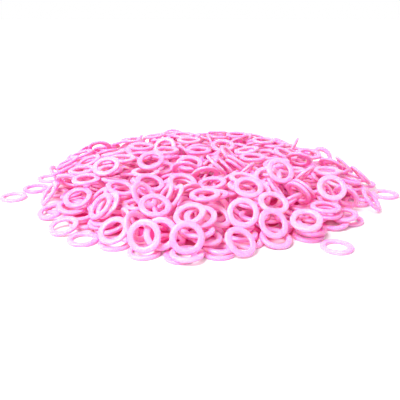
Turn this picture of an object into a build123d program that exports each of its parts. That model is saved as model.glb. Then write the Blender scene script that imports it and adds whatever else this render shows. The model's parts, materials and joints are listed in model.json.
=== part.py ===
from build123d import *
import math
import os
import random

import numpy as np

os.makedirs("parts", exist_ok=True)

# One stitch marker, a flat closed ring whose edges are cut at 45 degrees (lengths in millimetres)
marker_diameter = 10.0
marker_bore = 6.2
marker_thickness = 1.2
marker_edge_cut = 0.25

# The heap that several hundred of these markers were tipped into
heap_width = 130.0
heap_depth = 124.0
heap_height = 13.0
least_gap = 0.05

# Unit-less facts of the heap: how blunt its dome is, and how far its foot reaches every 15
# degrees round from the right-hand side, as shares of the half width and half depth
dome_power = 6.0
foot_depth_share = 0.18
foot_row_pitch_share = 1.04
foot_row_stagger_share = 0.22
fringe_share = 0.05
foot_reach_shares = (
    1.02, 1.02, 1.01, 1.00, 1.00, 1.00, 1.00, 1.00, 1.00, 1.00, 1.00, 0.99,
    0.98, 0.96, 0.97, 0.96, 1.03, 1.13, 1.13, 0.97, 1.04, 1.05, 1.04, 1.03,
)

# Markers that lie flat on the floor at the foot of the heap or just beside it: how far right
# and how far back from the heap's middle, as shares of its half width and half depth
floor_marker_shares = {
    "front_marker_left": (-0.55, -0.84),
    "front_marker_right": (0.62, -0.93),
    "stray_marker_right": (1.08, -0.17),
    "stray_marker_left": (-1.07, -0.22),
    "stray_marker_left_inner": (-0.99, -0.06),
    "stray_marker_left_back": (-0.96, 0.15),
}

# Markers that rest on the heap with nothing over them, so that they can be picked straight
# off it: right and back as above, then the lean in degrees and the way the upper face looks,
# in degrees round from the right-hand side
top_marker_shares = {
    "top_marker_centre": (0.19, -0.77, 50, 270),
    "top_marker_upper_centre": (0.15, -0.57, 25, 280),
    "top_marker_right": (0.64, -0.50, 40, 270),
    "top_marker_upper_right": (0.43, -0.47, 45, 290),
    "top_marker_low_left": (-0.61, -0.70, 15, 240),
    "top_marker_upper_left": (-0.28, -0.27, 25, 250),
    "top_marker_far_left": (-0.51, -0.33, 25, 250),
    "top_marker_front": (0.13, -0.86, 40, 310),
    "top_marker_front_left": (-0.21, -0.81, 25, 290),
    "top_marker_front_right": (0.46, -0.79, 20, 250),
    "top_marker_back": (0.17, 0.38, 15, 270),
    "top_marker_back_right": (0.66, 0.10, 10, 300),
}

# How the pouring is worked out: the grid of heights, the leans and turns that are tried, and
# how much chance, friction and overshoot it has, as counts, degrees and shares of a diameter
cells_across_marker = 54
lean_step = 5
steepest_lean = 75
turn_step = 10
pour_number = 17
tries_for_a_marker = (3, 4, 6, 8)
usual_leans = (10, 15, 20, 25, 30, 35, 40)
usual_hold_shares = (0, 0.003, 0.006, 0.012)
steep_leans = (45, 50, 55, 60, 65, 70)
steep_deep_share = 0.15
steep_surface_share = 0.65
surface_depth_share = 0.50
slide_cells = (4, 1)
slide_friction_share = 0.05
steep_hold_share = 0.12
least_drop_share = 0.0001
spots_looked_at = 6
scatter_share = 0.35
least_need_share = 0.05
overshoot_share = 0.26
steep_overshoot_share = 0.44
hollow_radius_share = 0.65
hollow_depth_share = 0.20
hollow_weight_share = 0.5
misses_when_full = 160
grid_margin_share = 2
blocked_share = 1000

tiers = ("base", "lower", "upper", "outer")
sectors = ("right", "back_right", "back", "back_left", "left", "front_left", "front", "front_right")


def share(length):
    """A length in marker diameters, rounded so that a part scaled all over is poured alike."""
    return round(length / marker_diameter, 6)


# The pouring works in marker diameters. Each marker is swollen by half the least gap, and
# sideways by half a cell's diagonal too, so that two never meet between the points of the grid.
cell = 1 / cells_across_marker
half_gap = share(least_gap) / 2
half_diagonal = cell / math.sqrt(2)
swollen_radius = share(marker_diameter) / 2 + half_gap + half_diagonal
swollen_bore_radius = share(marker_bore) / 2 - half_gap - half_diagonal
mask_reach = math.ceil(swollen_radius / cell)
half_width = share(heap_width) / 2
half_depth = share(heap_depth) / 2
half_columns = math.ceil((half_width + grid_margin_share) / cell)
half_rows = math.ceil((half_depth + grid_margin_share) / cell)


def upper_face_direction(lean, turn):
    """The way a marker's upper face looks, from its lean and turn in degrees."""
    tilt, around = math.radians(lean), math.radians(turn)
    return math.sin(tilt) * math.cos(around), math.sin(tilt) * math.sin(around), math.cos(tilt)


def marker_mask(lean, turn):
    """Heights of a swollen marker's underside and top, from its middle, over the grid."""
    steps = np.arange(-mask_reach, mask_reach + 1) * cell
    across, back = np.meshgrid(steps, steps)
    toward_x, toward_y, upright = upper_face_direction(lean, turn)
    along = toward_x * across + toward_y * back
    half_thickness = share(marker_thickness) / 2 + half_gap + half_diagonal * math.sin(math.radians(lean))
    low = (-half_thickness - along) / upright
    high = (half_thickness - along) / upright
    span = across**2 + back**2 - along**2
    if lean == 0:
        solid = (span <= swollen_radius**2) & (span >= swollen_bore_radius**2)
        return np.where(solid, low, np.inf), np.where(solid, high, -np.inf)
    slant = along * upright
    steepness = 1 - upright**2
    rim = slant**2 - steepness * (span - swollen_radius**2)
    hole = slant**2 - steepness * (span - swollen_bore_radius**2)
    rim_root = np.sqrt(np.maximum(rim, 0))
    hole_root = np.sqrt(np.maximum(hole, 0))
    low = np.maximum(low, (slant - rim_root) / steepness)
    high = np.minimum(high, (slant + rim_root) / steepness)
    hole_low = (slant - hole_root) / steepness
    hole_high = (slant + hole_root) / steepness
    under = np.where((hole > 0) & (low >= hole_low) & (low <= hole_high), hole_high, low)
    over = np.where((hole > 0) & (high >= hole_low) & (high <= hole_high), hole_low, high)
    solid = (rim >= 0) & (low < high) & (under < over)
    return np.where(solid, under, np.inf), np.where(solid, over, -np.inf)


def foot_reach(around):
    """How far the heap's foot reaches at an angle in degrees, as a share of its half size."""
    corners = np.linspace(0, 360, len(foot_reach_shares) + 1)
    return np.interp(around % 360, corners, foot_reach_shares + foot_reach_shares[:1])


class Heap:
    """The height of what has been poured so far, with each marker's place."""

    def __init__(self):
        columns = np.arange(-half_columns, half_columns + 1) * cell
        rows = np.arange(-half_rows, half_rows + 1) * cell
        self.across, self.back = np.meshgrid(columns, rows)
        self.height = np.full(self.across.shape, -half_gap)
        self.goal = self.dome()
        self.places = []
        self.masks = {}
        for lean in range(0, steepest_lean + 1, lean_step):
            for turn in range(0, 360, turn_step):
                flat_again = lean == 0 and turn > 0
                self.masks[lean, turn] = self.masks[0, 0] if flat_again else marker_mask(lean, turn)

    def dome(self):
        """The surface that the pouring fills up to."""
        around = np.degrees(np.arctan2(self.back / half_depth, self.across / half_width))
        out = np.hypot(self.across / half_width, self.back / half_depth) / foot_reach(around)
        inside = np.maximum(share(heap_height) * (1 - out**dome_power), foot_depth_share)
        return np.where(out < 1, inside, np.where(out < 1 + fringe_share, 0, -1))

    def window(self, column, row):
        """The patch of the grid that a marker in this cell may cover."""
        return (slice(row - mask_reach, row + mask_reach + 1),
                slice(column - mask_reach, column + mask_reach + 1))

    def nearest_cell(self, right_share, back_share):
        """The cell at a place given in shares of the half width and half depth."""
        return (half_columns + round(right_share * half_width / cell),
                half_rows + round(back_share * half_depth / cell))

    def rest_height(self, column, row, lean, turn):
        """How high a marker's middle comes to lie when it is lowered here."""
        rows, columns = self.height.shape
        inside = mask_reach <= column < columns - mask_reach and mask_reach <= row < rows - mask_reach
        if not inside:
            return blocked_share
        under, _ = self.masks[lean, turn]
        return float((self.height[self.window(column, row)] - under).max())

    def settle(self, column, row, lean, turn, hold):
        """Slide and tip a marker downhill until no small move lowers it any more."""
        around = [(a, b) for a in (-1, 0, 1) for b in (-1, 0, 1) if (a, b) != (0, 0)]
        resting = self.rest_height(column, row, lean, turn)
        while True:
            best_drop, best = least_drop_share, None
            for step in slide_cells:
                for right, back in around:
                    moved = (column + right * step, row + back * step, lean, turn)
                    height = self.rest_height(*moved)
                    friction = slide_friction_share * step * cell * math.hypot(right, back)
                    if resting - height - friction > best_drop:
                        best_drop, best = resting - height - friction, (moved, height)
            for tip, spin in around:
                moved = (column, row, lean + tip * lean_step, (turn + spin * turn_step) % 360)
                if moved[2:] not in self.masks:
                    continue
                height = self.rest_height(*moved)
                if resting - height - hold > best_drop:
                    best_drop, best = resting - height - hold, (moved, height)
            if best is None:
                return (column, row, lean, turn), resting
            (column, row, lean, turn), resting = best

    def lay(self, place, resting, keep_clear):
        """Leave a marker where it is; nothing is poured over one that is kept clear."""
        patch = self.window(*place[:2])
        _, over = self.masks[place[2:]]
        top = np.where(np.isfinite(over), blocked_share, -np.inf) if keep_clear else resting + over
        self.height[patch] = np.maximum(self.height[patch], top)
        column, row, lean, turn = place
        self.places.append(((column - half_columns) * cell, (row - half_rows) * cell, resting, lean, turn))
        return self.places[-1]

    def lay_on_floor(self, right_share, back_share):
        """Lay a marker flat beside the heap, slid outwards clear of those laid before."""
        column, row = self.nearest_cell(right_share, back_share)
        flat = (0, 0)
        while self.rest_height(column, row, *flat) > half_width:
            column += 1 if right_share > 0 else -1
        return self.lay((column, row, *flat), self.rest_height(column, row, *flat), True)

    def ring_the_foot(self, draw):
        """Lay a loose row of flat markers round the heap's foot, for the rest to lean on."""
        row_length = math.pi * (half_width + half_depth)
        row_count = int(row_length / foot_row_pitch_share)
        for number in range(row_count):
            around = 360 * number / row_count
            inset = 1 / 2 + draw.uniform(0, foot_row_stagger_share)
            right = (half_width * foot_reach(around) - inset) * math.cos(math.radians(around))
            back = (half_depth * foot_reach(around) - inset) * math.sin(math.radians(around))
            column, row = self.nearest_cell(right / half_width, back / half_depth)
            resting = self.rest_height(column, row, 0, 0)
            if resting < share(marker_thickness):
                self.lay((column, row, 0, 0), resting, False)

    def hollow(self, right_share, back_share):
        """Lower the dome where a marker is going to rest, so that it sinks in among the rest."""
        column, row = self.nearest_cell(right_share, back_share)
        right, back = (column - half_columns) * cell, (row - half_rows) * cell
        near = np.hypot(self.across - right, self.back - back) < hollow_radius_share
        self.goal[near] -= hollow_depth_share

    def lay_on_top(self, right_share, back_share, lean, turn):
        """Rest a marker on the heap at a chosen lean, further in if another is kept clear here."""
        column, row = self.nearest_cell(right_share, back_share)
        place, resting = self.settle(column, row, lean, turn, steep_hold_share)
        while resting > half_width:
            row += 1 if back_share < 0 else -1
            place, resting = self.settle(column, row, lean, turn, steep_hold_share)
        return self.lay(place, resting, True)

    def pour(self, draw):
        """Drop markers where the dome needs them most, until it is full."""
        misses = 0
        rows, columns = self.height.shape
        while misses < misses_when_full:
            spots = [(draw.randrange(columns), draw.randrange(rows)) for _ in range(spots_looked_at)]
            column, row = max(spots, key=lambda spot: self.need(*spot))
            found = self.best_rest(column, row, draw) if self.need(column, row) > least_need_share else None
            if found is None:
                misses += 1
            else:
                misses = 0
                self.lay(*found, False)

    def need(self, column, row):
        """How far the heap still lies below the dome here."""
        return self.goal[row, column] - self.height[row, column]

    def best_rest(self, column, row, draw):
        """The snuggest of a few places that a marker dropped near a spot settles into."""
        scatter = round(scatter_share / cell)
        near_surface = self.need(column, row) < surface_depth_share
        steep = draw.random() < (steep_surface_share if near_surface else steep_deep_share)
        most_overshoot = steep_overshoot_share if steep else overshoot_share
        best, best_cost = None, None
        for _ in range(draw.choice(tries_for_a_marker)):
            start_column = column + draw.randint(-scatter, scatter)
            start_row = row + draw.randint(-scatter, scatter)
            lean = draw.choice(steep_leans if steep else usual_leans)
            turn = turn_step * draw.randrange(360 // turn_step)
            hold = steep_hold_share if steep else draw.choice(usual_hold_shares)
            place, resting = self.settle(start_column, start_row, lean, turn, hold)
            if resting > half_width:
                continue
            patch = self.window(*place[:2])
            under, over = self.masks[place[2:]]
            solid = np.isfinite(over)
            overshoot = float((resting + over - self.goal[patch])[solid].max())
            hollow_under = float((resting + under - self.height[patch])[solid].mean())
            cost = resting + hollow_weight_share * hollow_under
            if overshoot < most_overshoot and (best is None or cost < best_cost):
                best, best_cost = (place, resting), cost
        return best


heap = Heap()
loose_places = {}
for name, where in floor_marker_shares.items():
    loose_places[name] = heap.lay_on_floor(*where)
for right_share, back_share, _, _ in top_marker_shares.values():
    heap.hollow(right_share, back_share)
first_poured = len(heap.places)
draw = random.Random(pour_number)
heap.ring_the_foot(draw)
heap.pour(draw)
poured_places = heap.places[first_poured:]
for name, where in top_marker_shares.items():
    loose_places[name] = heap.lay_on_top(*where)


def reach_along(direction_share):
    """How far a marker reaches from its middle along one axis."""
    flat_way, upright = math.sqrt(1 - direction_share**2), abs(direction_share)
    radius, half_thickness = marker_diameter / 2, marker_thickness / 2
    rim_corner = radius * flat_way + (half_thickness - marker_edge_cut) * upright
    face_corner = (radius - marker_edge_cut) * flat_way + half_thickness * upright
    return max(rim_corner, face_corner)


def box_middle(axis):
    """The middle of the box round all the markers, along one axis."""
    lows, highs = [], []
    for place in heap.places:
        reach = reach_along(upper_face_direction(*place[3:])[axis])
        lows.append(place[axis] * marker_diameter - reach)
        highs.append(place[axis] * marker_diameter + reach)
    return (min(lows) + max(highs)) / 2


# The origin is on the floor, under the middle of the box round all the markers
middle_x, middle_y = box_middle(0), box_middle(1)


def marker_plane(place):
    """The plane of a marker's middle, in millimetres."""
    right, back, resting, lean, turn = place
    origin = (right * marker_diameter - middle_x, back * marker_diameter - middle_y, resting * marker_diameter)
    return Plane(origin=origin, z_dir=upper_face_direction(lean, turn))


# The marker itself: its section with the corners cut, turned round the bore's axis
wall_width = (marker_diameter - marker_bore) / 2
wall_middle_radius = (marker_diameter + marker_bore) / 4
with BuildPart() as marker:
    with BuildSketch(Plane.XZ):
        with Locations((wall_middle_radius, 0)):
            Rectangle(wall_width, marker_thickness)
        chamfer(vertices(), marker_edge_cut)
    revolve(axis=Axis.Z)


def write_markers(name, places):
    """Write one node: a marker, or a group of markers that lie side by side."""
    with BuildPart() as group:
        with Locations(*[marker_plane(place) for place in places]):
            add(marker.part)
    group.part.label = name
    export_step(group.part, f"parts/{name}.step")


for name, place in loose_places.items():
    write_markers(name, [place])
    plane = marker_plane(place)
    print(name, "middle", tuple(plane.origin), "axis", tuple(plane.z_dir))

# The rest of the heap: eight sectors seen from above, each in four tiers from the floor up
by_sector = {sector: [] for sector in sectors}
for place in poured_places:
    right, back = place[0] * marker_diameter - middle_x, place[1] * marker_diameter - middle_y
    turn_share = math.atan2(back, right) / (2 * math.pi)
    by_sector[sectors[round(turn_share * len(sectors)) % len(sectors)]].append(place)
for sector, places in by_sector.items():
    places.sort(key=lambda place: place[2])
    for tier_number, tier in enumerate(tiers):
        first = len(places) * tier_number // len(tiers)
        last = len(places) * (tier_number + 1) // len(tiers)
        write_markers(f"{tier}_markers_{sector}", places[first:last])

print(len(heap.places), "markers in all")
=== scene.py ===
"""Dresses a heap of ring stitch markers in moulded pink plastic, on a white table."""

import json
import math
import random

import bpy
import numpy as np
from bpy.props import FloatProperty, FloatVectorProperty, IntProperty, PointerProperty
from mathutils import Matrix, Vector


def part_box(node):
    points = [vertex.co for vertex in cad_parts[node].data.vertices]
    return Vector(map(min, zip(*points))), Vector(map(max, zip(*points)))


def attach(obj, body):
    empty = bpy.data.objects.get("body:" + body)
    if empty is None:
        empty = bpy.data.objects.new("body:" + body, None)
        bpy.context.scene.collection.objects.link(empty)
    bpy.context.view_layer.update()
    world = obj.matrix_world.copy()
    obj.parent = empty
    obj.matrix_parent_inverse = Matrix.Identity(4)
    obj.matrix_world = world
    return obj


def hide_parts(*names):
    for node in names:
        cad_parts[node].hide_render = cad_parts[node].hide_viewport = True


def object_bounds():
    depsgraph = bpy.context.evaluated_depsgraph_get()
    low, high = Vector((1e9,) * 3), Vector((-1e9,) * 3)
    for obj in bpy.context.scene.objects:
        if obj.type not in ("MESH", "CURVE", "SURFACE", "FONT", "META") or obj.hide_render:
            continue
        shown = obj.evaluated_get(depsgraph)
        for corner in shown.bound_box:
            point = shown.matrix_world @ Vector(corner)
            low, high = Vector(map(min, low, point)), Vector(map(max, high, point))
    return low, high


bl_info = {
    "name": "Stitch Marker Heap",
    "version": (1, 1, 0),
    "blender": (4, 5, 0),
    "location": "3D View > Sidebar > Markers",
    "description": "Moulds each ring marker of a packed heap and sets the white table it lies on",
    "category": "Object",
}

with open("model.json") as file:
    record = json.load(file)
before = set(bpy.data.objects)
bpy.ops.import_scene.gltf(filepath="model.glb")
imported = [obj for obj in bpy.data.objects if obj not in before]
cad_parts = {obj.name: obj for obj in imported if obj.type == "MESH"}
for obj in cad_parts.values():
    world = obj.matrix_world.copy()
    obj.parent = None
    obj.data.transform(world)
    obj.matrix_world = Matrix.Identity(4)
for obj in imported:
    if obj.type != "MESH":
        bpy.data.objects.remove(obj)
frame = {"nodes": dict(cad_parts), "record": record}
cad_low, cad_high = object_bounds()

MILLIMETRE = 0.001
PLASTIC_SLOT = "pink_plastic"
HEAP_BODY = "heap"
BORE_ENDING = "_bore"
PATTERN_MARKER = "stray_marker_right"
PLACE_ATTRIBUTE = "marker_place"
NUMBER_ATTRIBUTE = "marker_number"

# Shares that tell a marker's rim from its other faces, and points that are one point
RIM_SLOPE_SHARE = 0.1
RIM_RADIUS_SHARE = 0.9
MERGE_SHARE = 0.0001

# The side of a new plane, before it gets its real size
UNIT_SIDE = 1

# The plastic: how far apart two markers' swirls are taken, how much the marker counts beside the
# swirl for its paleness, where paleness starts and is full, and how much of the relief is wave
# and grain
SWIRL_SPREAD = 50
SWIRL_DETAIL = 2
MARKER_PALENESS_SHARE = 0.6
PALENESS_START = 0.3
PALENESS_FULL = 1.3
WAVE_SHARE = 0.3
GRAIN_SHARE = 0.12
RELIEF_SHARE = 0.3
PLASTIC_IOR = 1.49

# The table's dull surface, and where the painted pink light under the heap starts to fade, as a
# share of where it ends
TABLE_ROUGHNESS = 0.6
TABLE_GLOSS_SHARE = 0.2
FADE_START_SHARE = 0.82

# The lamp's height and width as shares of the heap's span, and the camera's nearest sight as a
# share of its height
LAMP_HEIGHT_SHARE = 2
LAMP_WIDTH_SHARE = 1.5
NEAREST_SIGHT_SHARE = 0.1

# Sockets of a Mix node for colours, which share their names with those for other data
MIX_AMOUNT, MIX_FIRST, MIX_SECOND, MIX_RESULT = 0, 6, 7, 2


def marker_sizes():
    """Outside radius, bore radius, thickness and edge cut, read from one flat marker."""
    low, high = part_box(PATTERN_MARKER)
    mounts = {mount["name"]: mount for mount in frame["record"]["mounts"]}
    bore = mounts[PATTERN_MARKER + BORE_ENDING]["dims"]
    thickness = high.z - low.z
    edge_cut = (thickness - bore["length_mm"] * MILLIMETRE) / 2
    return (high.x - low.x) / 2, bore["r_mm"] * MILLIMETRE, thickness, edge_cut


OUTSIDE_RADIUS, BORE_RADIUS, THICKNESS, EDGE_CUT = marker_sizes()


class MarkerShape(bpy.types.PropertyGroup):
    """The moulded shape of one marker."""

    steps_around: IntProperty(
        name="Steps around", description="Faces round the ring before smoothing",
        default=12, min=8, max=32)
    smoothing: IntProperty(
        name="Smoothing", description="Subdivisions of the finished ring",
        default=1, min=0, max=2)
    corner_cut_share: FloatProperty(
        name="Corner cut", description="Cut at the section's corners, as a share of the solid's edge cut",
        default=1.15, min=0.1, max=2, subtype="FACTOR")
    gate_height: FloatProperty(
        name="Gate height", description="How far the trimmed moulding gate stands out of the rim",
        default=0.06 * MILLIMETRE, unit="LENGTH", precision=5)
    gate_inset: FloatProperty(
        name="Gate inset", description="How far the trimmed gate stays inside its face of the rim",
        default=0.12 * MILLIMETRE, unit="LENGTH", precision=5)
    gate_width_share: FloatProperty(
        name="Gate width", description="Width of the gate as a share of its face of the rim",
        default=0.35, min=0.1, max=1, subtype="FACTOR")
    turn_seed: IntProperty(
        name="Turn seed", description="Seed for how each marker is turned about its bore", default=7)


class PlasticFinish(bpy.types.PropertyGroup):
    """The colour and surface of the moulded plastic."""

    body_colour: FloatVectorProperty(
        name="Body colour", description="Colour of the plastic", subtype="COLOR", size=3,
        default=(0.95, 0.29, 0.62), min=0, max=1)
    pale_colour: FloatVectorProperty(
        name="Pale colour", description="Colour of the palest markers and swirls", subtype="COLOR",
        size=3, default=(0.95, 0.45, 0.69), min=0, max=1)
    glow_share: FloatProperty(
        name="Glow", description="Share of the light that passes through the plastic",
        default=0.8, min=0, max=1, subtype="FACTOR")
    glow_colour: FloatVectorProperty(
        name="Glow colour", description="How far red, green and blue light go into the plastic",
        subtype="COLOR", size=3, default=(1.0, 0.06, 0.35), min=0, max=1)
    glow_depth: FloatProperty(
        name="Glow depth", description="How deep red light goes into the plastic",
        default=2.0 * MILLIMETRE, unit="LENGTH", precision=5)
    # Painted glow: the plastic gives off faint crimson light all over, standing in for the light passed
    # on deep in the heap
    inner_colour: FloatVectorProperty(
        name="Inner light colour", description="Colour of the light handed on deep in the heap",
        subtype="COLOR", size=3, default=(1.0, 0.01, 0.20), min=0, max=1)
    inner_light: FloatProperty(
        name="Inner light", description="Strength of the light handed on deep in the heap",
        default=0.05, min=0, max=1)
    gloss: FloatProperty(
        name="Gloss", description="How strongly the faces mirror, as a share of the shader's full range",
        default=0.5, min=0, max=1, subtype="FACTOR")
    swirl_size: FloatProperty(
        name="Swirl size", description="Size of the faint swirls of pigment",
        default=3.0 * MILLIMETRE, unit="LENGTH", precision=5)
    grain_size: FloatProperty(
        name="Grain size", description="Size of the fine unevenness of the moulded faces",
        default=0.25 * MILLIMETRE, unit="LENGTH", precision=5)
    smoothest: FloatProperty(
        name="Smoothest", description="Roughness of the smoothest spots", default=0.26, min=0, max=1)
    roughest: FloatProperty(
        name="Roughest", description="Roughness of the roughest spots", default=0.42, min=0, max=1)
    seam_width: FloatProperty(
        name="Seam width", description="Width of the fine line where the mould halves meet",
        default=0.06 * MILLIMETRE, unit="LENGTH", precision=5)
    relief_height: FloatProperty(
        name="Relief height", description="Height of the seam and the waves over the faces",
        default=0.05 * MILLIMETRE, unit="LENGTH", precision=5)


class StageLook(bpy.types.PropertyGroup):
    """The white table, the lamp and the camera."""

    table_size: FloatProperty(
        name="Table size", description="Side of the square table top", default=6.0, unit="LENGTH")
    table_lift: FloatProperty(
        name="Table lift", description="Whiteness added to the table where the camera sees it",
        default=0.25, min=0, max=1)
    lift_inner_share: FloatProperty(
        name="Lift starts", description="Where the whiteness starts, as a share of the heap's reach",
        default=0.85, min=0, max=1, subtype="FACTOR")
    lift_outer_share: FloatProperty(
        name="Lift ends", description="Where the whiteness is full, as a share of the heap's reach",
        default=5, min=1, max=100)
    table_colour: FloatVectorProperty(
        name="Table colour", description="Colour of the bare table", subtype="COLOR", size=3,
        default=(0.9, 0.9, 0.9), min=0, max=1)
    # Painted light: the table's own colour turns pink under the heap, standing in for light let through
    # by the markers
    under_heap_colour: FloatVectorProperty(
        name="Under the heap", description="Colour of the light let through to the table by the heap",
        subtype="COLOR", size=3, default=(0.9, 0.08, 0.36), min=0, max=1)
    under_heap_share: FloatProperty(
        name="Pink light ends", description="Where that light has faded, as a share of the heap's reach",
        default=0.88, min=0, max=1, subtype="FACTOR")
    sky_strength: FloatProperty(
        name="Sky strength", description="Even light from all round", default=0.6, min=0)
    key_power: FloatProperty(
        name="Key power", description="Power of the large lamp over the heap", default=3.65, min=0)
    camera_distance: FloatProperty(
        name="Camera distance", description="How far the camera stands in front of the heap's middle",
        default=0.1968, unit="LENGTH", precision=4)
    camera_side: FloatProperty(
        name="Camera side", description="How far the camera stands to the right of the middle",
        default=-0.0003, unit="LENGTH", precision=4)
    camera_height: FloatProperty(
        name="Camera height", description="How high the camera stands over the table",
        default=0.0669, unit="LENGTH", precision=4)
    camera_drop: FloatProperty(
        name="Camera drop", description="How far the camera looks down from level",
        default=math.radians(19.9), subtype="ANGLE")
    lens: FloatProperty(
        name="Lens", description="Focal length on the sensor", default=47.7, subtype="DISTANCE_CAMERA")
    sensor: FloatProperty(
        name="Sensor", description="Width of the camera's sensor",
        default=36.0, subtype="DISTANCE_CAMERA")


def start_clean():
    """Leave edit mode and deselect everything."""
    if bpy.context.object and bpy.context.object.mode != "OBJECT":
        bpy.ops.object.mode_set(mode="OBJECT")
    bpy.ops.object.select_all(action="DESELECT")


def pick(piece):
    """Select one object alone and make it the active one."""
    start_clean()
    piece.select_set(True)
    bpy.context.view_layer.objects.active = piece


def throw_away(piece):
    """Delete a helper object together with its mesh."""
    mesh = piece.data
    bpy.data.objects.remove(piece)
    bpy.data.meshes.remove(mesh)


def model_marker(shape):
    """One marker about the origin: a cut-cornered section, spun round the bore."""
    start_clean()
    cut = shape.corner_cut_share * EDGE_CUT
    full_turn = 2 * math.pi
    # Smoothing leaves a point two thirds of itself and a sixth of each neighbour. That draws the
    # ring inwards, and its section by a twelfth of the corner cut, so both are modelled larger
    ring_swell = 3 / (2 + math.cos(full_turn / shape.steps_around))
    section_swell = cut / 12
    wall = OUTSIDE_RADIUS - BORE_RADIUS
    middle = (OUTSIDE_RADIUS + BORE_RADIUS) / 2
    bpy.ops.mesh.primitive_plane_add(
        size=UNIT_SIDE, location=(middle * ring_swell, 0, 0), rotation=(full_turn / 4, 0, 0))
    marker = bpy.context.object
    marker.name = "marker_pattern"
    marker.scale = (wall * ring_swell + section_swell, THICKNESS + section_swell, UNIT_SIDE)
    bpy.ops.object.transform_apply(location=True, rotation=True, scale=True)
    bpy.ops.object.mode_set(mode="EDIT")
    bpy.ops.mesh.select_all(action="SELECT")
    bpy.ops.mesh.bevel(offset=cut, segments=1, affect="VERTICES")
    bpy.ops.mesh.select_all(action="SELECT")
    bpy.ops.mesh.delete(type="ONLY_FACE")
    bpy.ops.mesh.select_all(action="SELECT")
    bpy.ops.mesh.spin(steps=shape.steps_around, angle=full_turn, center=(0, 0, 0), axis=(0, 0, 1))
    bpy.ops.mesh.select_all(action="SELECT")
    bpy.ops.mesh.remove_doubles(threshold=OUTSIDE_RADIUS * MERGE_SHARE)
    bpy.ops.mesh.normals_make_consistent(inside=False)
    bpy.ops.object.mode_set(mode="OBJECT")
    raise_gate(marker, shape)
    bpy.ops.object.shade_smooth()
    return marker


def raise_gate(marker, shape):
    """Raise the trimmed stub of the moulding gate on one face of the rim."""
    rim = [face for face in marker.data.polygons
           if abs(face.normal.z) < RIM_SLOPE_SHARE
           and face.center.xy.length > OUTSIDE_RADIUS * RIM_RADIUS_SHARE]
    gate = max(rim, key=lambda face: face.normal.x)
    gate_number, outward, centre = gate.index, gate.normal.copy(), gate.center.copy()
    bpy.ops.object.mode_set(mode="EDIT")
    bpy.ops.mesh.select_mode(type="FACE")
    bpy.ops.mesh.select_all(action="DESELECT")
    bpy.ops.object.mode_set(mode="OBJECT")
    marker.data.polygons[gate_number].select = True
    bpy.ops.object.mode_set(mode="EDIT")
    bpy.ops.mesh.inset(thickness=shape.gate_inset)
    bpy.ops.transform.resize(value=(shape.gate_width_share, shape.gate_width_share, 1),
                             center_override=centre)
    bpy.ops.transform.translate(value=outward * shape.gate_height)
    bpy.ops.mesh.select_mode(type="VERT")
    bpy.ops.object.mode_set(mode="OBJECT")


def remember_place(marker):
    """Keep each point's place in its own marker, for the material's patterns."""
    place = marker.data.attributes.new(PLACE_ATTRIBUTE, "FLOAT_VECTOR", "POINT")
    points = np.zeros(len(marker.data.vertices) * 3, np.float32)
    marker.data.vertices.foreach_get("co", points)
    place.data.foreach_set("vector", points)
    marker.data.attributes.new(NUMBER_ATTRIBUTE, "FLOAT", "POINT")


def marker_frames(node):
    """The middle and the bore's direction of each marker in a node, read from its mesh."""
    reading = bpy.data.objects.new(node + "_reading", frame["nodes"][node].data.copy())
    bpy.context.scene.collection.objects.link(reading)
    pick(reading)
    bpy.ops.object.mode_set(mode="EDIT")
    bpy.ops.mesh.select_all(action="SELECT")
    bpy.ops.mesh.remove_doubles(threshold=OUTSIDE_RADIUS * MERGE_SHARE)
    bpy.ops.mesh.separate(type="LOOSE")
    bpy.ops.object.mode_set(mode="OBJECT")
    markers = list(bpy.context.selected_objects)
    frames = [middle_and_bore(marker.data) for marker in markers]
    for marker in markers:
        throw_away(marker)
    return sorted(frames, key=lambda found: tuple(found[0]))


def middle_and_bore(mesh):
    """Middle and bore direction of one marker, weighing each triangle by its area."""
    mesh.calc_loop_triangles()
    points = np.zeros(len(mesh.vertices) * 3)
    mesh.vertices.foreach_get("co", points)
    corners = np.zeros(len(mesh.loop_triangles) * 3, np.int64)
    mesh.loop_triangles.foreach_get("vertices", corners)
    triangles = points.reshape(-1, 3)[corners].reshape(-1, 3, 3)
    sides = triangles[:, 1:] - triangles[:, :1]
    areas = np.linalg.norm(np.cross(sides[:, 0], sides[:, 1]), axis=1)
    middles = triangles.mean(axis=1)
    middle = (middles * areas[:, None]).sum(axis=0) / areas.sum()
    spread = ((middles - middle) * areas[:, None]).T @ (middles - middle)
    bore = Vector(np.linalg.eigh(spread)[1][:, 0])
    return Vector(middle), bore if bore.z > 0 else -bore


def place_copy(pattern, middle, bore, draw):
    """A copy of the pattern at a marker's place, turned and turned over by chance."""
    copy = pattern.copy()
    copy.data = pattern.data.copy()
    bpy.context.scene.collection.objects.link(copy)
    number = np.full(len(copy.data.vertices), draw.random(), np.float32)
    copy.data.attributes[NUMBER_ATTRIBUTE].data.foreach_set("value", number)
    turn = Matrix.Rotation(draw.uniform(0, 2 * math.pi), 4, "Z")
    over = Matrix.Rotation(math.pi * draw.randrange(2), 4, "X")
    lean = bore.to_track_quat("Z", "Y").to_matrix().to_4x4()
    copy.data.transform(Matrix.Translation(middle) @ lean @ turn @ over)
    return copy


def mould_node(node, body, pattern, plastic, shape):
    """Put a copy of the pattern at every marker of a node and join the copies into one piece."""
    draw = random.Random(f"{node} {shape.turn_seed}")
    copies = [place_copy(pattern, middle, bore, draw) for middle, bore in marker_frames(node)]
    pick(copies[0])
    for copy in copies:
        copy.select_set(True)
    if len(copies) > 1:
        bpy.ops.object.join()
    piece = bpy.context.object
    piece.name = "moulded_" + node
    piece.data.name = piece.name
    piece.data.materials.append(plastic)
    smooth = piece.modifiers.new("Smoothing", "SUBSURF")
    smooth.levels = shape.smoothing
    smooth.render_levels = shape.smoothing
    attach(piece, body)
    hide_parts(node)


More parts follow.
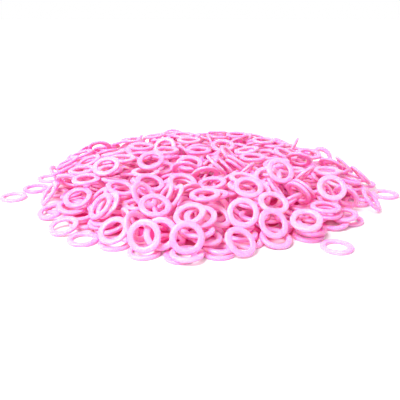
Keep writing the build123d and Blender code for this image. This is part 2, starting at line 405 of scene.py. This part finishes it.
def mould_markers(scene, wanted):
    """Mould the markers of every node that is wanted, each riding on its node's body."""
    plastic = pink_plastic(scene.plastic_finish)
    pattern = model_marker(scene.marker_shape)
    remember_place(pattern)
    for body, nodes in frame["record"]["behaviour"]["bodies"].items():
        for node in nodes:
            if wanted(body, node):
                mould_node(node, body, pattern, plastic, scene.marker_shape)
    throw_away(pattern)


def lies_on_table(node):
    """Whether a loose marker lies flat on the table, where its bore is a mount."""
    return any(mount["name"] == node + BORE_ENDING for mount in frame["record"]["mounts"])


class MARKERS_OT_mould_heap(bpy.types.Operator):
    """Mould the markers that make up the poured heap"""

    bl_idname = "markers.mould_heap"
    bl_label = "Mould the Heap"

    def execute(self, context):
        mould_markers(context.scene, lambda body, node: body == HEAP_BODY)
        return {"FINISHED"}


class MARKERS_OT_mould_table(bpy.types.Operator):
    """Mould the loose markers that lie flat on the table, at the heap's foot and beside it"""

    bl_idname = "markers.mould_table"
    bl_label = "Mould the Markers on the Table"

    def execute(self, context):
        mould_markers(context.scene, lambda body, node: body != HEAP_BODY and lies_on_table(node))
        return {"FINISHED"}


class MARKERS_OT_mould_top(bpy.types.Operator):
    """Mould the loose markers that rest on top of the heap"""

    bl_idname = "markers.mould_top"
    bl_label = "Mould the Markers on Top"

    def execute(self, context):
        mould_markers(context.scene, lambda body, node: body != HEAP_BODY and not lies_on_table(node))
        return {"FINISHED"}


def node_maker(tree):
    """A short way to add a shader node with its settings and input values."""
    def make(kind, inputs=(), **settings):
        node = tree.nodes.new(kind)
        for name, value in settings.items():
            setattr(node, name, value)
        for name, value in dict(inputs).items():
            node.inputs[name].default_value = value
        return node
    return make


def pink_plastic(finish):
    """Moulded pink plastic: pale and deeper markers, faint swirls, fine grain and a mould seam, with a
    faint painted glow all over.
    """
    name = PLASTIC_SLOT + "_moulded"
    if name in bpy.data.materials:
        return bpy.data.materials[name]
    material = bpy.data.materials.new(name)
    material.use_nodes = True
    tree = material.node_tree
    make, link = node_maker(tree), tree.links.new
    shader = tree.nodes["Principled BSDF"]
    place = make("ShaderNodeAttribute", attribute_name=PLACE_ATTRIBUTE).outputs["Vector"]
    number = make("ShaderNodeAttribute", attribute_name=NUMBER_ATTRIBUTE).outputs["Fac"]
    swirl = swirl_pattern(make, link, finish, place, number)
    grain_node = make("ShaderNodeTexNoise", {"Scale": 1 / finish.grain_size})
    link(place, grain_node.inputs["Vector"])
    grain = grain_node.outputs["Fac"]
    link(plastic_colour(make, link, finish, swirl, number), shader.inputs["Base Color"])
    link(plastic_roughness(make, link, finish, grain), shader.inputs["Roughness"])
    link(plastic_relief(make, link, finish, place, swirl, grain), shader.inputs["Normal"])
    shader.inputs["Subsurface Weight"].default_value = finish.glow_share
    shader.inputs["Subsurface Radius"].default_value = finish.glow_colour
    shader.inputs["Subsurface Scale"].default_value = finish.glow_depth
    # Painted glow: a faint crimson emission all over the plastic, standing in for light passed on deep in
    # the heap
    shader.inputs["Emission Color"].default_value = (*finish.inner_colour, 1)
    shader.inputs["Emission Strength"].default_value = finish.inner_light
    shader.inputs["Specular IOR Level"].default_value = finish.gloss
    shader.inputs["IOR"].default_value = PLASTIC_IOR
    return material


def swirl_pattern(make, link, finish, place, number):
    """Soft swirls that differ from marker to marker."""
    swirl = make("ShaderNodeTexNoise", {"Scale": 1 / finish.swirl_size, "Detail": SWIRL_DETAIL},
                 noise_dimensions="4D")
    number_spread = make("ShaderNodeMath", {1: SWIRL_SPREAD}, operation="MULTIPLY")
    link(number, number_spread.inputs[0])
    link(place, swirl.inputs["Vector"])
    link(number_spread.outputs[0], swirl.inputs["W"])
    return swirl.outputs["Fac"]


def plastic_colour(make, link, finish, swirl, number):
    """The body colour, paler in some markers and along the swirls."""
    paleness = make("ShaderNodeMath", {1: MARKER_PALENESS_SHARE}, operation="MULTIPLY_ADD")
    paler = make("ShaderNodeMapRange", {"From Min": PALENESS_START, "From Max": PALENESS_FULL})
    link(number, paleness.inputs[0])
    link(swirl, paleness.inputs[2])
    link(paleness.outputs[0], paler.inputs["Value"])
    return mix_colours(make, link, paler, finish.body_colour, finish.pale_colour)


def mix_colours(make, link, amount, first, second):
    """The first colour where the amount is nought, and the second where it is one."""
    mix = make("ShaderNodeMix", data_type="RGBA")
    mix.inputs[MIX_FIRST].default_value = (*first, 1)
    mix.inputs[MIX_SECOND].default_value = (*second, 1)
    link(amount.outputs["Result"], mix.inputs[MIX_AMOUNT])
    return mix.outputs[MIX_RESULT]


def plastic_roughness(make, link, finish, grain):
    """Glossier and duller spots of the grain."""
    roughness = make("ShaderNodeMapRange", {"To Min": finish.smoothest, "To Max": finish.roughest})
    link(grain, roughness.inputs["Value"])
    return roughness.outputs["Result"]


def plastic_relief(make, link, finish, place, swirl, grain):
    """The mould seam round the middle of the rim and bore, on faintly wavy, grained faces."""
    split = make("ShaderNodeSeparateXYZ")
    off_seam = make("ShaderNodeMath", operation="ABSOLUTE")
    seam = make("ShaderNodeMapRange", {"From Max": finish.seam_width, "To Min": 1, "To Max": 0},
                interpolation_type="SMOOTHSTEP")
    waves = make("ShaderNodeMath", {1: WAVE_SHARE}, operation="MULTIPLY_ADD")
    height = make("ShaderNodeMath", {1: GRAIN_SHARE}, operation="MULTIPLY_ADD")
    bump = make("ShaderNodeBump", {"Strength": RELIEF_SHARE, "Distance": finish.relief_height})
    link(place, split.inputs[0])
    link(split.outputs["Z"], off_seam.inputs[0])
    link(off_seam.outputs[0], seam.inputs["Value"])
    link(swirl, waves.inputs[0])
    link(seam.outputs["Result"], waves.inputs[2])
    link(grain, height.inputs[0])
    link(waves.outputs[0], height.inputs[2])
    link(height.outputs[0], bump.inputs["Height"])
    return bump.outputs["Normal"]


def seen_straight(make, link):
    """One where the camera looks, straight or by way of gloss or glass, and else nought."""
    light_path = make("ShaderNodeLightPath")
    straight_or_gloss = make("ShaderNodeMath", operation="MAXIMUM")
    seen = make("ShaderNodeMath", operation="MAXIMUM")
    link(light_path.outputs["Is Camera Ray"], straight_or_gloss.inputs[0])
    link(light_path.outputs["Is Glossy Ray"], straight_or_gloss.inputs[1])
    link(straight_or_gloss.outputs[0], seen.inputs[0])
    link(light_path.outputs["Is Transmission Ray"], seen.inputs[1])
    return seen.outputs[0]


def white_table(look):
    """White all over as the camera sees it, but with the heap's shadow on it and pink light painted under
    the heap.
    """
    material = bpy.data.materials.new("white_table")
    material.use_nodes = True
    tree = material.node_tree
    make, link = node_maker(tree), tree.links.new
    shader = tree.nodes["Principled BSDF"]
    out = distance_from_heap(make, link)
    # Painted pink light: the table's colour is pink under the heap and fades to its bare colour towards
    # the heap's foot
    fade_start = look.under_heap_share * FADE_START_SHARE
    bare = make("ShaderNodeMapRange", {"From Min": fade_start, "From Max": look.under_heap_share},
                interpolation_type="SMOOTHSTEP")
    link(out, bare.inputs["Value"])
    link(mix_colours(make, link, bare, look.under_heap_colour, look.table_colour),
         shader.inputs["Base Color"])
    shader.inputs["Roughness"].default_value = TABLE_ROUGHNESS
    shader.inputs["Specular IOR Level"].default_value = TABLE_GLOSS_SHARE
    lift = make("ShaderNodeEmission")
    strength = make("ShaderNodeMath", operation="MULTIPLY")
    total = make("ShaderNodeAddShader")
    link(seen_straight(make, link), strength.inputs[0])
    link(table_lift(make, link, look, out), strength.inputs[1])
    link(strength.outputs[0], lift.inputs["Strength"])
    link(shader.outputs[0], total.inputs[0])
    link(lift.outputs[0], total.inputs[1])
    link(total.outputs[0], tree.nodes["Material Output"].inputs["Surface"])
    return material


def distance_from_heap(make, link):
    """Distance from the heap's middle over the table, one at the heap's foot."""
    boxes = [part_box(node) for node in frame["record"]["behaviour"]["bodies"][HEAP_BODY]]
    reach_x = max(max(-low.x, high.x) for low, high in boxes)
    reach_y = max(max(-low.y, high.y) for low, high in boxes)
    point = make("ShaderNodeTexCoord")
    scaled = make("ShaderNodeMapping", {"Scale": (1 / reach_x, 1 / reach_y, 0)})
    out = make("ShaderNodeVectorMath", operation="LENGTH")
    link(point.outputs["Object"], scaled.inputs["Vector"])
    link(scaled.outputs["Vector"], out.inputs[0])
    return out.outputs["Value"]


def table_lift(make, link, look, out):
    """The table's added whiteness: none under the heap, some round it and all of it far away."""
    near = make("ShaderNodeMapRange", {"From Min": look.lift_inner_share, "From Max": 1,
                                       "To Max": look.table_lift}, interpolation_type="SMOOTHSTEP")
    far = make("ShaderNodeMapRange", {"From Min": 1, "From Max": look.lift_outer_share})
    lift = make("ShaderNodeMath", operation="MAXIMUM")
    link(out, near.inputs["Value"])
    link(out, far.inputs["Value"])
    link(near.outputs["Result"], lift.inputs[0])
    link(far.outputs["Result"], lift.inputs[1])
    return lift.outputs[0]


def white_surroundings(look):
    """A white room: pure white where the camera looks, and even light everywhere else."""
    world = bpy.data.worlds.new("white_room")
    world.use_nodes = True
    bpy.context.scene.world = world
    tree = world.node_tree
    make, link = node_maker(tree), tree.links.new
    background = tree.nodes["Background"]
    background.inputs["Color"].default_value = (1, 1, 1, 1)
    strength = make("ShaderNodeMapRange", {"To Min": look.sky_strength, "To Max": 1})
    link(seen_straight(make, link), strength.inputs["Value"])
    link(strength.outputs["Result"], background.inputs["Strength"])


def hang_lamp(look):
    """A large soft lamp over the front left of the heap, turned to its middle."""
    span = (cad_high - cad_low).length
    bpy.ops.object.light_add(type="AREA", location=(-span, -span, LAMP_HEIGHT_SHARE * span))
    lamp = bpy.context.object
    lamp.name = "key_lamp"
    lamp.data.shape = "DISK"
    lamp.data.size = LAMP_WIDTH_SHARE * span
    lamp.data.energy = look.key_power
    lamp.rotation_euler = (-lamp.location).to_track_quat("-Z", "Y").to_euler()


def place_camera(look):
    """The camera, a little over the table in front of the heap."""
    bpy.ops.object.camera_add(
        location=(look.camera_side, -look.camera_distance, look.camera_height),
        rotation=(math.pi / 2 - look.camera_drop, 0, 0))
    camera = bpy.context.object
    camera.name = "camera"
    camera.data.lens = look.lens
    camera.data.sensor_width = look.sensor
    camera.data.clip_start = NEAREST_SIGHT_SHARE * look.camera_height
    bpy.context.scene.camera = camera


class MARKERS_OT_stage(bpy.types.Operator):
    """Lay the white table, hang the lamp and place the camera"""

    bl_idname = "markers.stage"
    bl_label = "Set the Stage"

    def execute(self, context):
        look = context.scene.stage_look
        start_clean()
        bpy.ops.mesh.primitive_plane_add(size=look.table_size)
        table = context.object
        table.name = "table"
        table.data.materials.append(white_table(look))
        white_surroundings(look)
        hang_lamp(look)
        place_camera(look)
        context.scene.view_settings.view_transform = "Standard"
        return {"FINISHED"}


class MARKERS_PT_sidebar(bpy.types.Panel):
    """The sidebar panel that lists the sizes, colours and steps"""

    bl_idname = "MARKERS_PT_sidebar"
    bl_label = "Stitch Marker Heap"
    bl_space_type = "VIEW_3D"
    bl_region_type = "UI"
    bl_category = "Markers"

    def draw(self, context):
        for group_name, operators in STEPS:
            group = getattr(context.scene, group_name)
            column = self.layout.column(align=True)
            for name in group.__annotations__:
                column.prop(group, name)
            for operator in operators:
                column.operator(operator)


GROUPS = {"marker_shape": MarkerShape, "plastic_finish": PlasticFinish, "stage_look": StageLook}
STEPS = (
    ("marker_shape", ()),
    ("plastic_finish", ("markers.mould_heap", "markers.mould_table", "markers.mould_top")),
    ("stage_look", ("markers.stage",)),
)
CLASSES = (*GROUPS.values(), MARKERS_OT_mould_heap, MARKERS_OT_mould_table, MARKERS_OT_mould_top,
           MARKERS_OT_stage, MARKERS_PT_sidebar)


def register():
    """Make the groups, operators and panel known, and give the scene its settings."""
    for added in CLASSES:
        bpy.utils.register_class(added)
    for name, group in GROUPS.items():
        setattr(bpy.types.Scene, name, PointerProperty(type=group))


def unregister():
    """Take the scene's settings, the panel, the operators and the groups away again."""
    for name in GROUPS:
        delattr(bpy.types.Scene, name)
    for added in reversed(CLASSES):
        bpy.utils.unregister_class(added)


def main():
    """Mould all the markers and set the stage."""
    register()
    bpy.ops.markers.mould_heap()
    bpy.ops.markers.mould_table()
    bpy.ops.markers.mould_top()
    bpy.ops.markers.stage()


if __name__ == "__main__":
    main()
